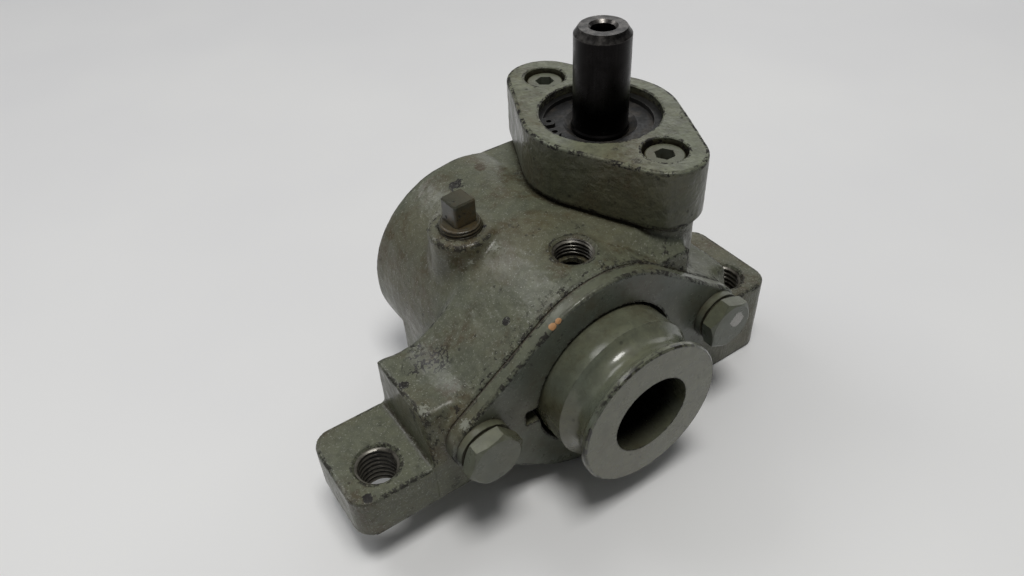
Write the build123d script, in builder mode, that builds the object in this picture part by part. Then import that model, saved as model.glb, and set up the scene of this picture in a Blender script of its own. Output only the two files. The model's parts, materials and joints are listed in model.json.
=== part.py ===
"""Worm gearbox: cast housing with two mounting feet, grooved output hub, vertical input shaft.

Millimetres. X to the right, Y away from the output hub, Z up.
The origin is the centre of the output bore's mouth; the output axis is Y.
"""

import math
import os

from build123d import *

os.makedirs("parts", exist_ok=True)

# ---------------------------------------------------------------- driving sizes

slip = 0.02                     # clearance of a light press seat inside one body
running = 0.05                  # radial clearance of a running fit

# output axis, along Y
hub_radius = 26.0
bore_radius = 14.0
bore_depth = 46.0
cover_front = 22.0
cover_thickness = 5.0
cover_gasket_thickness = 0.5
housing_front = cover_front + cover_thickness + cover_gasket_thickness
housing_rear = 110.5
journal_radius = 22.5
cavity_radius = 28.3

# castings
body_radius = 38.4
block_rear = 93.0
base_z = -38.8
deck_z = 36.4
wing_x = 62.0
wing_rear = 61.3
wing_top = 11.6
right_wing_top = 8.4
ear_x = 48.0
ear_radius = 10.0
foot_top = -7.2
left_foot_x = -89.2
right_foot_x = 84.5
left_foot_z = -23.7
left_hole_x = -76.0
right_hole_x = 71.5
foot_hole_y = 39.5
foot_corner = 7.0
thread_radius = 7.0             # M14, at the major diameter
mouth_radius = 7.4
port_radius = 6.8
port_top = 37.7

# worm axis, along Z
worm_x = 38.5
worm_y = 75.0
flange_gasket_thickness = 1.2
flange_z = deck_z + flange_gasket_thickness
flange_top = 59.2
screw_offset = 32.0
flange_centre_radius = 27.5
flange_end_radius = 13.8
shaft_radius = 9.5
shaft_top = 89.0
upper_seat_z = 35.5
seal_z = upper_seat_z + 12.0
lower_bore_radius = 9.5
lower_seat_radius = 20.5
lower_seat_z = -34.4
lower_bearing_width = 10.0
retaining_z = seal_z + 7.0

# gearing: module 2.5, one start, twenty teeth
module = 2.5
teeth = 20
wheel_pitch_radius = module * teeth / 2
worm_pitch_radius = worm_x - wheel_pitch_radius
wheel_width = 14.0
lead = math.pi * module
lead_angle = math.degrees(math.atan(lead / (2 * math.pi * worm_pitch_radius)))
worm_tip_radius = worm_pitch_radius + module
worm_root_radius = worm_pitch_radius - 1.25 * module
pressure_angle = math.radians(20)
backlash = 0.7


# ---------------------------------------------------------------- helpers

def wall_plane(y):
    """Upright plane at Y = y, local x along X and local y along Z, facing the hub."""
    return Plane(origin=(0, y, 0), x_dir=(1, 0, 0), z_dir=(0, -1, 0))


worm_section = Plane(origin=(worm_x, worm_y, 0), x_dir=(1, 0, 0), z_dir=(0, -1, 0))
worm_axis = Axis((worm_x, worm_y, 0), (0, 0, 1))


def level(z):
    """Horizontal plane at height z, centred on the worm axis."""
    return Plane(origin=(worm_x, worm_y, z), x_dir=(1, 0, 0), z_dir=(0, 0, 1))


def save(builder, name):
    builder.part.label = name
    export_step(builder.part, f"parts/{name}.step")


def turned_on_output_axis(points):
    """Solid of revolution about Y from (radius, y) points."""
    with BuildPart() as turned:
        with BuildSketch(Plane.XY):
            with BuildLine():
                Polyline(*points, close=True)
            make_face()
        revolve(axis=Axis.Y)
    return turned


def turned_on_worm_axis(points):
    """Solid of revolution about the worm axis from (radius, z) points."""
    with BuildPart() as turned:
        with BuildSketch(worm_section):
            with BuildLine():
                Polyline(*points, close=True)
            make_face()
        revolve(axis=worm_axis)
    return turned


def bearing(name, base, bore, outer, width, ball_radius, ball_count):
    """Deep-groove ball bearing standing on the base plane: two rings, balls and cage."""
    pitch = (bore + outer) / 2
    land = 0.5 * ball_radius
    middle = base.offset(width / 2)
    edge = 0.5

    with BuildPart() as inner:
        with BuildSketch(base):
            Circle(pitch - land)
            Circle(bore, mode=Mode.SUBTRACT)
        extrude(amount=width)
        chamfer(inner.edges().filter_by(GeomType.CIRCLE).sort_by(SortBy.RADIUS)[:2], edge)
        with Locations(middle):
            Torus(pitch, ball_radius + running, mode=Mode.SUBTRACT)
    save(inner, f"{name}_inner_ring")

    with BuildPart() as outer_ring:
        with BuildSketch(base):
            Circle(outer)
            Circle(pitch + land, mode=Mode.SUBTRACT)
        extrude(amount=width)
        chamfer(outer_ring.edges().filter_by(GeomType.CIRCLE).sort_by(SortBy.RADIUS)[-2:], edge)
        with Locations(middle):
            Torus(pitch, ball_radius + running, mode=Mode.SUBTRACT)
    save(outer_ring, f"{name}_outer_ring")

    with BuildPart() as balls:
        with Locations(middle):
            with PolarLocations(pitch, ball_count):
                Sphere(ball_radius)
    save(balls, f"{name}_balls")

    cage_half = 0.3 * ball_radius
    with BuildPart() as cage:
        with BuildSketch(middle):
            Circle(pitch + cage_half)
            Circle(pitch - cage_half, mode=Mode.SUBTRACT)
        extrude(amount=ball_radius + 0.6, both=True)
        with Locations(middle):
            with PolarLocations(pitch, ball_count):
                Cylinder(ball_radius + 0.12, 4 * cage_half, rotation=(0, 90, 0), mode=Mode.SUBTRACT)
    save(cage, f"{name}_cage")


def flange_outline(inset):
    """Rhombic two-screw outline about the worm axis, in the current sketch."""
    Circle(flange_centre_radius - inset)
    with Locations((0, screw_offset), (0, -screw_offset)):
        Circle(flange_end_radius - inset)
    make_hull()


def ear_outline():
    """Cover outline: the barrel's circle with an ear at each side."""
    Circle(body_radius)
    with Locations((ear_x, 0), (-ear_x, 0)):
        Circle(ear_radius)
    make_hull()


# ---------------------------------------------------------------- housing

# shoulders swept up into the cover's tangent line, their front faces leaning back
tangent_cosine = (body_radius - ear_radius) / ear_x
tangent_sine = math.sqrt(1 - tangent_cosine**2)


def bend_x(top):
    """Distance from the middle at which a shoulder's level top leaves the cover's tangent."""
    rise = top - ear_radius * tangent_sine
    return ear_x + ear_radius * tangent_cosine - rise * tangent_sine / tangent_cosine



with BuildPart() as shoulders:
    with BuildSketch(wall_plane(wing_rear)):
        with BuildLine():
            Polyline(
                (-wing_x, foot_top - 1),
                (-wing_x, wing_top),
                (-bend_x(wing_top), wing_top),
                (-body_radius * tangent_cosine, body_radius * tangent_sine),
                (body_radius * tangent_cosine, body_radius * tangent_sine),
                (bend_x(right_wing_top), right_wing_top),
                (wing_x, right_wing_top),
                (wing_x, foot_top - 1),
                close=True,
            )
        make_face()
        bends = (-bend_x(wing_top), bend_x(right_wing_top))
        fillet(vertices().filter_by(lambda corner: min(abs(corner.X - x) for x in bends) < 0.01), 22.0)
    extrude(amount=wing_rear - housing_front)
    with BuildSketch(Plane.YZ):
        with BuildLine():
            Polyline(
                (housing_front, foot_top),
                (housing_front, 40),
                (housing_front + 10, 40),
                close=True,
            )
        make_face()
    extrude(amount=wing_x, both=True, mode=Mode.SUBTRACT)

with BuildPart() as housing:
    # barrel round the output axis, its rear rim rounded
    with BuildSketch(wall_plane(housing_rear)):
        Circle(body_radius)
    extrude(amount=housing_rear - housing_front)
    fillet(housing.edges().filter_by(GeomType.CIRCLE).sort_by(Axis.Y)[-1], 2.0)

    # front end has the cover's outline, above a base as wide as the shoulders
    with BuildSketch(wall_plane(wing_rear)):
        ear_outline()
    extrude(amount=wing_rear - housing_front)
    with BuildSketch(wall_plane(wing_rear)):
        with BuildLine():
            Polyline(
                (-wing_x, foot_top),
                (wing_x, foot_top),
                (wing_x, base_z),
                (18, base_z),
                (-30, left_foot_z),
                (-wing_x, left_foot_z),
                close=True,
            )
        make_face()
    extrude(amount=wing_rear - housing_front)
    add(shoulders)

    # squared lower body behind the left shoulder
    with BuildSketch(Plane.XY.offset(base_z)):
        with Locations((-8, (wing_rear + block_rear) / 2 - 2)):
            Rectangle(60, block_rear - wing_rear + 4)
    extrude(amount=-base_z)

    # flat deck from the barrel's crest to the worm tower, sloped down to the cover
    with BuildSketch(Plane.YZ.offset(-2)):
        with BuildLine():
            Polyline(
                (housing_front, 0),
                (housing_front, 29),
                (housing_front + 12, deck_z),
                (housing_rear, deck_z),
                (housing_rear, 0),
                close=True,
            )
        make_face()
    extrude(amount=worm_x + 2)

    with BuildSketch(Plane.XY.offset(deck_z)):
        with Locations((worm_x, worm_y)):
            Rectangle(2 * (worm_x - 12), housing_rear - housing_front)
    extrude(amount=4, mode=Mode.SUBTRACT)

    # neck below the input flange and the tower that holds the worm
    with BuildSketch(level(-4)):
        flange_outline(2.4)
    extrude(amount=deck_z + 4)
    with BuildSketch(level(base_z)):
        Circle(flange_centre_radius - 2.4)
    extrude(amount=deck_z - base_z)

    # rest pad below the barrel
    with BuildSketch(Plane.XY.offset(base_z)):
        with Locations((6, (housing_front + 104) / 2 + 3)):
            RectangleRounded(40, 104 - housing_front - 6, 4)
    extrude(amount=20)

    # raised boss of the filler plug
    with BuildSketch(Plane.XY.offset(12)):
        with Locations((-20.2, 73.6)):
            Circle(11.2)
    extrude(amount=26)

    # feet, with rounded outer corners
    for inner_x, outer_x, rear_y, bottom in (
        (-wing_x + 8, left_foot_x, wing_rear, left_foot_z),
        (wing_x - 8, right_foot_x, wing_rear + 7.7, base_z),
    ):
        with BuildSketch(Plane.XY.offset(bottom)):
            with Locations(((inner_x + outer_x) / 2, (housing_front + rear_y) / 2)):
                Rectangle(abs(outer_x - inner_x), rear_y - housing_front)
            fillet(vertices().filter_by(lambda corner: abs(corner.X) > 80), foot_corner)
        extrude(amount=foot_top - bottom)

    # output cavity and its two bearing seats
    with BuildSketch(wall_plane(59)):
        Circle(29.0 + slip)
    extrude(amount=59 - housing_front, mode=Mode.SUBTRACT)
    with BuildSketch(wall_plane(90)):
        Circle(cavity_radius)
    extrude(amount=90 - 58, mode=Mode.SUBTRACT)
    with BuildSketch(wall_plane(99)):
        Circle(23.5 + slip)
    extrude(amount=10, mode=Mode.SUBTRACT)
    with BuildSketch(wall_plane(104.5)):
        Circle(19.0)
    extrude(amount=7, mode=Mode.SUBTRACT)

    # worm bore, the upper bearing's ledge and the lower bearing's seat
    with BuildSketch(level(base_z)):
        Circle(17.5 + slip)
    extrude(amount=deck_z - base_z, mode=Mode.SUBTRACT)
    with BuildSketch(level(base_z)):
        Circle(lower_seat_radius + slip)
    extrude(amount=lower_seat_z + lower_bearing_width + 0.1 - base_z, mode=Mode.SUBTRACT)
    with BuildSketch(level(upper_seat_z)):
        Circle(21.0 + slip)
    extrude(amount=1, mode=Mode.SUBTRACT)

    # tapped foot holes, with chamfered mouths
    for hole_x, bottom in ((left_hole_x, left_foot_z), (right_hole_x, base_z)):
        with BuildSketch(Plane.XY.offset(bottom)):
            with Locations((hole_x, foot_hole_y)):
                Circle(thread_radius)
        extrude(amount=foot_top - bottom, mode=Mode.SUBTRACT)
        with BuildSketch(Plane.XY.offset(foot_top)):
            with Locations((hole_x, foot_hole_y)):
                Circle(mouth_radius)
        extrude(amount=-0.4, taper=45, mode=Mode.SUBTRACT)

    # level port in the deck: tapped mouth, then a drilling into the cavity
    with BuildSketch(Plane.XY.offset(20)):
        with Locations((1.6, 42.0)):
            Circle(4.8)
    extrude(amount=22, mode=Mode.SUBTRACT)
    with BuildSketch(Plane.XY.offset(30.4)):
        with Locations((1.6, 42.0)):
            Circle(port_radius)
    extrude(amount=10, mode=Mode.SUBTRACT)
    with BuildSketch(Plane.XY.offset(port_top)):
        with Locations((1.6, 42.0)):
            Circle(9.0)
    extrude(amount=2, mode=Mode.SUBTRACT)
    with BuildSketch(Plane.XY.offset(port_top)):
        with Locations((1.6, 42.0)):
            Circle(port_radius + 0.7)
    extrude(amount=-0.7, taper=45, mode=Mode.SUBTRACT)

    # filler hole in the raised boss
    with BuildSketch(Plane.XY.offset(15)):
        with Locations((-20.2, 73.6)):
            Circle(6.6 + slip)
    extrude(amount=24, mode=Mode.SUBTRACT)

    # tapped holes of the cover bolts and of the flange screws
    with BuildSketch(wall_plane(housing_front)):
        with Locations((ear_x, 0), (-ear_x, 0)):
            Circle(5.0 + slip)
    extrude(amount=-21, mode=Mode.SUBTRACT)
    with BuildSketch(level(deck_z)):
        with Locations((0, screw_offset), (0, -screw_offset)):
            Circle(4.0 + slip)
    extrude(amount=-20, mode=Mode.SUBTRACT)
save(housing, "housing")

# ---------------------------------------------------------------- front cover

with BuildPart() as front_cover:
    with BuildSketch(wall_plane(cover_front + cover_thickness)):
        ear_outline()
        Circle(27.1, mode=Mode.SUBTRACT)
        with Locations((ear_x, 0), (-ear_x, 0)):
            Circle(5.5, mode=Mode.SUBTRACT)
        with Locations((-29, -1)):
            Rectangle(5.6, 6.0, mode=Mode.SUBTRACT)
    extrude(amount=cover_thickness)
    chamfer(front_cover.faces().sort_by(Axis.Y)[0].outer_wire().edges(), 0.6)
save(front_cover, "front_cover")

with BuildPart() as cover_gasket:
    with BuildSketch(wall_plane(housing_front)):
        ear_outline()
        offset(amount=-0.5)
        Circle(29.2, mode=Mode.SUBTRACT)
        with Locations((ear_x, 0), (-ear_x, 0)):
            Circle(5.5, mode=Mode.SUBTRACT)
    extrude(amount=cover_gasket_thickness)
save(cover_gasket, "cover_gasket")

# ---------------------------------------------------------------- cover bolts and lock washers

washer_thickness = 2.6
head_height = 6.0
bolt_seat = cover_front - washer_thickness


def hex_bolt(turn):
    """M10 bolt on the Y axis, its head's flats turned by an angle in degrees."""
    with BuildPart() as bolt:
        with BuildSketch(wall_plane(bolt_seat)):
            RegularPolygon(8.5, 6, major_radius=False, rotation=turn)
        extrude(amount=head_height)
        with BuildSketch(Plane.XY):
            with BuildLine():
                Polyline(
                    (0, bolt_seat),
                    (0, bolt_seat - head_height),
                    (8.1, bolt_seat - head_height),
                    (10.0, bolt_seat - head_height + 1.1),
                    (10.0, bolt_seat - 1.4),
                    (8.2, bolt_seat - 0.7),
                    (7.8, bolt_seat),
                    close=True,
                )
            make_face()
        revolve(axis=Axis.Y, mode=Mode.INTERSECT)
        with BuildSketch(wall_plane(housing_front + 18)):
            Circle(5.0)
        extrude(amount=housing_front + 18 - bolt_seat)
    return bolt


with BuildPart() as cover_bolts:
    for bolt_x, turn in ((-ear_x, 11), (ear_x, 41)):
        with Locations((bolt_x, 0, 0)):
            add(hex_bolt(turn))
save(cover_bolts, "cover_bolts")

with BuildPart() as lock_washers:
    with BuildSketch(wall_plane(cover_front)):
        for bolt_x, turn in ((-ear_x, 285), (ear_x, 250)):
            with Locations((bolt_x, 0)):
                Circle(9.0)
                Circle(5.3, mode=Mode.SUBTRACT)
            with Locations(Location((bolt_x, 0, 0), (0, 0, turn))):
                with Locations((7, 0)):
                    Rectangle(6, 0.9, mode=Mode.SUBTRACT)
    extrude(amount=washer_thickness)
save(lock_washers, "lock_washers")

# ---------------------------------------------------------------- input flange

with BuildPart() as input_flange:
    with BuildSketch(level(flange_z)):
        flange_outline(0)
    extrude(amount=flange_top - flange_z)
    fillet(input_flange.faces().sort_by(Axis.Z)[-1].outer_wire().edges(), 0.8)
    fillet(input_flange.faces().sort_by(Axis.Z)[0].outer_wire().edges(), 1.2)
    with BuildSketch(level(flange_z)):
        Circle(21.0 + slip)
    extrude(amount=flange_top - flange_z, mode=Mode.SUBTRACT)
    with BuildSketch(level(retaining_z)):
        Circle(22.2)
    extrude(amount=1.8, mode=Mode.SUBTRACT)
    with Locations(level(flange_top)):
        with Locations((0, screw_offset), (0, -screw_offset)):
            CounterBoreHole(4.5, 7.45, 9.6)
save(input_flange, "input_flange")

with BuildPart() as flange_gasket:
    with BuildSketch(level(deck_z)):
        flange_outline(2.0)
        Circle(21.4, mode=Mode.SUBTRACT)
        with Locations((0, screw_offset), (0, -screw_offset)):
            Circle(4.5, mode=Mode.SUBTRACT)
    extrude(amount=flange_gasket_thickness)
save(flange_gasket, "flange_gasket")

head_seat = flange_top - 9.6
with BuildPart() as flange_screws:
    with Locations(level(head_seat)):
        with Locations((0, screw_offset), (0, -screw_offset)):
            Cylinder(6.6, 8.0, align=(Align.CENTER, Align.CENTER, Align.MIN))
    fillet(flange_screws.edges().filter_by(GeomType.CIRCLE).group_by(Axis.Z)[-1], 0.7)
    with Locations(level(head_seat)):
        with Locations((0, screw_offset), (0, -screw_offset)):
            Cylinder(4.0, 30.0, align=(Align.CENTER, Align.CENTER, Align.MAX))
    for socket_y, turn in ((screw_offset, 20), (-screw_offset, 0)):
        with BuildSketch(level(head_seat + 8.0)):
            with Locations(Location((0, socket_y, 0), (0, 0, turn))):
                RegularPolygon(3.0, 6, major_radius=False)
        extrude(amount=-4.5, mode=Mode.SUBTRACT)
save(flange_screws, "flange_screws")

# ---------------------------------------------------------------- input seal and retaining ring

with BuildPart() as input_retaining_ring:
    with BuildSketch(level(retaining_z)):
        Circle(22.0)
        with Locations((-0.6, 0.25)):
            Circle(18.9, mode=Mode.SUBTRACT)
        with Locations(Location((0, 0, 0), (0, 0, 160))):
            with Locations((17.6, 3.6), (17.6, -3.6)):
                Circle(2.6)
            with Locations((20, 0)):
                Rectangle(14, 2.4, mode=Mode.SUBTRACT)
            with Locations((17.2, 3.6), (17.2, -3.6)):
                Circle(1.0, mode=Mode.SUBTRACT)
    extrude(amount=1.75)
save(input_retaining_ring, "input_retaining_ring")

save(
    turned_on_worm_axis([
        (21.0, seal_z),
        (21.0, retaining_z),
        (12.6, retaining_z),
        (10.0 + running, retaining_z - 1.6),
        (10.0 + running, retaining_z - 2.6),
        (12.2, retaining_z - 4.6),
        (17.6, retaining_z - 4.6),
        (17.6, seal_z),
    ]),
    "input_seal",
)

# ---------------------------------------------------------------- output seal

save(
    turned_on_output_axis([
        (29.0, 29.6),
        (29.0, 36.6),
        (26.6, 36.6),
        (26.6, 32.2),
        (24.4, 32.2),
        (22.5 + running, 34.0),
        (22.5 + running, 33.0),
        (24.6, 29.6),
    ]),
    "output_seal",
)

# ---------------------------------------------------------------- filler plug

with BuildPart() as filler_plug:
    with BuildSketch(Plane.XY.offset(27)):
        with Locations((-20.2, 73.6)):
            Circle(6.6)
    extrude(amount=14)
    chamfer(filler_plug.edges().filter_by(GeomType.CIRCLE).group_by(Axis.Z)[-1], 0.8)
    with BuildSketch(Plane.XY.offset(41)):
        with Locations(Location((-20.2, 73.6, 0), (0, 0, 3))):
            RectangleRounded(8.4, 8.4, 1.0)
    extrude(amount=8.2)
    chamfer(filler_plug.faces().sort_by(Axis.Z)[-1].outer_wire().edges(), 0.5)
save(filler_plug, "filler_plug")

# ---------------------------------------------------------------- bottom cap below the worm

save(
    turned_on_worm_axis([
        (0, -37.2),
        (lower_seat_radius - 2.9, -37.2),
        (lower_seat_radius - 2.1, -38.0),
        (lower_seat_radius, -38.0),
        (lower_seat_radius, -34.6),
        (lower_seat_radius - 1.9, -34.6),
        (lower_seat_radius - 2.7, -35.4),
        (0, -35.4),
    ]),
    "bottom_cap",
)

# ---------------------------------------------------------------- bearings

bearing("upper_bearing", level(upper_seat_z), 10.0, 21.0, 12.0, 3.2, 9)
bearing(
    "lower_bearing", level(lower_seat_z), lower_bore_radius, lower_seat_radius, lower_bearing_width, 3.3, 10
)
bearing("front_bearing", wall_plane(59), journal_radius, 29.0, 7.0, 1.9, 24)
bearing("rear_bearing", wall_plane(99), 15.0, 23.5, 9.0, 2.4, 14)

# ---------------------------------------------------------------- output hub and shaft

with BuildPart() as output_hub:
    with BuildSketch(Plane.XY):
        with BuildLine():
            Line((0, 0), (hub_radius - 0.5, 0))
            Line((hub_radius - 0.5, 0), (hub_radius, 0.5))
            Line((hub_radius, 0.5), (hub_radius, 1.9))
            Line((hub_radius, 1.9), (hub_radius - 0.6, 2.5))
            ThreePointArc((hub_radius - 0.6, 2.5), (hub_radius - 3.3, 7.2), (hub_radius - 0.9, 11.9))
            Line((hub_radius - 0.9, 11.9), (hub_radius, 12.8))
            Line((hub_radius, 12.8), (hub_radius, 28.8))
            Line((hub_radius, 28.8), (journal_radius - slip, 28.8))
            Line((journal_radius - slip, 28.8), (journal_radius - slip, 50.4))
            Line((journal_radius - slip, 50.4), (23.4, 50.4))
            Line((23.4, 50.4), (23.4, 52.0))
            Line((23.4, 52.0), (journal_radius - slip, 52.0))
            Line((journal_radius - slip, 52.0), (journal_radius - slip, 59.0))
            Line((journal_radius - slip, 59.0), (17.0, 59.0))
            Line((17.0, 59.0), (17.0, 82.1))
            Line((17.0, 82.1), (16.1, 82.1))
            Line((16.1, 82.1), (16.1, 83.7))
            Line((16.1, 83.7), (17.0, 83.7))
            Line((17.0, 83.7), (17.0, 90.0))
            Line((17.0, 90.0), (15.0 - slip, 90.0))
            Line((15.0 - slip, 90.0), (15.0 - slip, 99.0))
            Line((15.0 - slip, 99.0), (14.2, 99.0))
            Line((14.2, 99.0), (14.2, 100.3))
            Line((14.2, 100.3), (15.0 - slip, 100.3))
            Line((15.0 - slip, 100.3), (15.0 - slip, 101.8))
            Line((15.0 - slip, 101.8), (14.0, 102.8))
            Line((14.0, 102.8), (0, 102.8))
            Line((0, 102.8), (0, 0))
        make_face()
    revolve(axis=Axis.Y)
    with BuildSketch(wall_plane(0)):
        Circle(bore_radius)
    extrude(amount=-bore_depth, mode=Mode.SUBTRACT)
    with BuildSketch(Plane.XY.offset(12.0)):
        with Locations((0, 75)):
            SlotOverall(14.0, 8.0, rotation=90)
    extrude(amount=8.0, mode=Mode.SUBTRACT)
save(output_hub, "output_hub")

with BuildPart() as wheel_key:
    with BuildSketch(Plane.XY.offset(12.0)):
        with Locations((0, 75)):
            SlotOverall(13.96, 7.96, rotation=90)
    extrude(amount=8.0)
save(wheel_key, "wheel_key")

save(
    turned_on_output_axis([(17.0 + slip, 59.0), (21.0, 59.0), (21.0, 68.0), (17.0 + slip, 68.0)]),
    "wheel_spacer",
)

with BuildPart() as wheel_retaining_ring:
    with BuildSketch(wall_plane(83.65)):
        with Locations((0, 0.5)):
            Circle(19.4)
        Circle(16.1 + slip, mode=Mode.SUBTRACT)
        with Locations((0, -19)):
            Rectangle(4.0, 8.0, mode=Mode.SUBTRACT)
    extrude(amount=1.5)
save(wheel_retaining_ring, "wheel_retaining_ring")

with BuildPart() as rear_retaining_ring:
    with BuildSketch(wall_plane(100.25)):
        with Locations((0, 0.4)):
            Circle(16.9)
        Circle(14.2 + slip, mode=Mode.SUBTRACT)
        with Locations((0, -17)):
            Rectangle(4.0, 8.0, mode=Mode.SUBTRACT)
    extrude(amount=1.2)
save(rear_retaining_ring, "rear_retaining_ring")

# ---------------------------------------------------------------- worm wheel

base_radius = wheel_pitch_radius * math.cos(pressure_angle)
wheel_tip_radius = wheel_pitch_radius + module
wheel_root_radius = wheel_pitch_radius - 1.25 * module


def involute(angle):
    return math.tan(angle) - angle


def half_tooth_angle(radius):
    """Half of the tooth's angular thickness at a radius, with the backlash taken off."""
    tilt = math.acos(min(1.0, base_radius / radius))
    pitch_half = (math.pi * module / 2 - backlash / 2) / (2 * wheel_pitch_radius)
    return pitch_half + involute(pressure_angle) - involute(tilt)


def wheel_outline():
    """Closed outline of the toothed rim, one gap centred on the worm's side."""
    flank_radii = [base_radius, 24.2, 25.3, 26.4, wheel_tip_radius]
    points = []
    for tooth in range(teeth):
        centre = (tooth + 0.5) * 2 * math.pi / teeth
        rising = [(wheel_root_radius, -half_tooth_angle(base_radius) - 0.012)]
        rising += [(radius, -half_tooth_angle(radius)) for radius in flank_radii]
        falling = [(radius, -angle) for radius, angle in reversed(rising)]
        for radius, angle in rising + falling:
            points.append((radius * math.cos(centre + angle), radius * math.sin(centre + angle)))
    return points


wheel_front = worm_y - wheel_width / 2
wheel_rear = worm_y + wheel_width / 2
wheel_twist = math.degrees(wheel_width / 2 * math.tan(math.radians(lead_angle)) / wheel_pitch_radius)

with BuildPart() as worm_wheel:
    for wheel_y, turn in ((wheel_front, wheel_twist), (worm_y, 0), (wheel_rear, -wheel_twist)):
        with BuildSketch(wall_plane(wheel_y)):
            with BuildLine(Location((0, 0, 0), (0, 0, turn))):
                Polyline(*wheel_outline(), close=True)
            make_face()
    loft(ruled=True)
    with BuildSketch(Plane.XY):
        with BuildLine():
            Polyline(
                (0, wheel_front),
                (wheel_tip_radius - 1.6, wheel_front),
                (wheel_tip_radius, wheel_front + 1.6),
                (wheel_tip_radius, wheel_rear - 1.6),
                (wheel_tip_radius - 1.6, wheel_rear),
                (0, wheel_rear),
                close=True,
            )
        make_face()
    revolve(axis=Axis.Y, mode=Mode.INTERSECT)
    with BuildSketch(wall_plane(wheel_rear)):
        Circle(17.0 + slip)
        with Locations((0, 17)):
            Rectangle(8.0, 6.4, mode=Mode.ADD)
    extrude(amount=wheel_width, mode=Mode.SUBTRACT)
save(worm_wheel, "worm_wheel")

# ---------------------------------------------------------------- worm shaft


def thread_half_width(radius):
    """Half of the thread's axial width at a radius, with the backlash taken off."""
    return (lead / 2 - backlash / 2) / 2 - (radius - worm_pitch_radius) * math.tan(pressure_angle)


with BuildPart() as worm_shaft:
    with BuildSketch(worm_section):
        with BuildLine():
            Polyline(
                (0, -34.2),
                (lower_bore_radius - 0.8, -34.2),
                (lower_bore_radius - slip, -33.4),
                (lower_bore_radius - slip, lower_seat_z + lower_bearing_width),
                (worm_root_radius, -22.0),
                (worm_root_radius, 24.0),
                (12.4, 26.5),
                (12.4, upper_seat_z),
                (10.0 - slip, upper_seat_z),
                (10.0 - slip, 54.2),
                (shaft_radius, 54.8),
                (shaft_radius, shaft_top - 2.3),
                (shaft_radius - 1.6, shaft_top),
                (0, shaft_top),
                close=True,
            )
        make_face()
    revolve(axis=worm_axis)

    # single right-hand thread, its crest facing the wheel's gap at rest
    thread_start = -2.5 * lead
    with BuildLine():
        Helix(lead, 5 * lead, worm_pitch_radius, center=(worm_x, worm_y, thread_start))
    with BuildSketch(Plane(
        origin=(worm_x + worm_pitch_radius, worm_y, thread_start), x_dir=(1, 0, 0), z_dir=(0, -1, 0)
    )):
        with BuildLine():
            Polyline(
                (worm_root_radius - 0.4 - worm_pitch_radius, thread_half_width(worm_root_radius - 0.4)),
                (module, thread_half_width(worm_tip_radius)),
                (module, -thread_half_width(worm_tip_radius)),
                (worm_root_radius - 0.4 - worm_pitch_radius, -thread_half_width(worm_root_radius - 0.4)),
                close=True,
            )
        make_face()
    sweep(is_frenet=True)

    # tapped hole in the shaft's end
    with BuildSketch(level(shaft_top)):
        Circle(4.0)
    extrude(amount=-20, mode=Mode.SUBTRACT)
    with BuildSketch(level(shaft_top)):
        Circle(4.9)
    extrude(amount=-0.9, taper=45, mode=Mode.SUBTRACT)
save(worm_shaft, "worm_shaft")
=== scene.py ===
"""Looks of the worm gearbox: rounded castings, threads, paint, wear, light and camera.

Metres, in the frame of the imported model: X right, Y into the housing, Z up.
"""

import json
import math

import bmesh
import bpy
import numpy as np
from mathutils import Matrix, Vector, noise


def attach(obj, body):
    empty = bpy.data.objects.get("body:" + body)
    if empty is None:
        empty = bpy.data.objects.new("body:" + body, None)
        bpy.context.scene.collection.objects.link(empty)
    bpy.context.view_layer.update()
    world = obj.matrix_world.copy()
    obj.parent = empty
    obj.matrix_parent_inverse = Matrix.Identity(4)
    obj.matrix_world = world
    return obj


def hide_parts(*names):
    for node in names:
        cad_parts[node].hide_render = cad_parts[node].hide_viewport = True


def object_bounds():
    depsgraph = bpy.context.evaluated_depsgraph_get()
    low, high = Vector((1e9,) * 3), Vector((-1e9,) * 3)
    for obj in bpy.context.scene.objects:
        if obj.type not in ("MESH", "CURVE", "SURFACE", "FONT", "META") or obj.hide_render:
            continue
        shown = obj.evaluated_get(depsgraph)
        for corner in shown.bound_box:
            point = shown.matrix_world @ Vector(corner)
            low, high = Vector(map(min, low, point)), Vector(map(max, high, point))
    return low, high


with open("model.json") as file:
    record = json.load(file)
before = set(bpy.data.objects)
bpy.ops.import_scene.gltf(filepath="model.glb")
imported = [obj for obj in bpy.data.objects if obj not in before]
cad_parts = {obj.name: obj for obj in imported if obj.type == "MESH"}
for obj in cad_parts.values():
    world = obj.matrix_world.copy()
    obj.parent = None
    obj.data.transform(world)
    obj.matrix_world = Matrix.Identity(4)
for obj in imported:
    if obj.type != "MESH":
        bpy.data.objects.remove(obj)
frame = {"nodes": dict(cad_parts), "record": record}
cad_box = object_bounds()
nodes = frame["nodes"]

MM = 0.001

# ---------------------------------------------------------------- places, in millimetres

WORM_X, WORM_Y = 38.5, 75.0
HOUSING_FRONT = 27.5
BASE_Z = -38.8
DECK_Z = 36.4
FOOT_TOP = -7.2
FOOT_HOLES = ((-76.0, 39.5, -23.7), (71.5, 39.5, -38.8))
THREAD_RADIUS = 7.0
PORT = (1.6, 42.0)
PORT_TOP = 37.7
PORT_RADIUS = 6.8
PLUG = (-20.2, 73.6)
PLUG_RADIUS = 6.6
PIPE_PITCH = 1.337
BOSS_TOP = 38.0
FLANGE_BOTTOM, FLANGE_TOP = 37.6, 59.2
SCREW_OFFSET = 32.0
COVER_FRONT, COVER_REAR = 22.0, 27.0
BORE_RADIUS = 14.1
HUB_LIP_RADIUS = 25.4
SHAFT_TIP = 87.0
HEAD_RADIUS = 7.45
SEAT_RADIUS = 21.02
WORM_CLEAR = 22.5           # kept true round the worm axis
FLANGE_CLEAR = 22.6
CAVITY_CLEAR = 31.0         # kept true round the output axis

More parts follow.
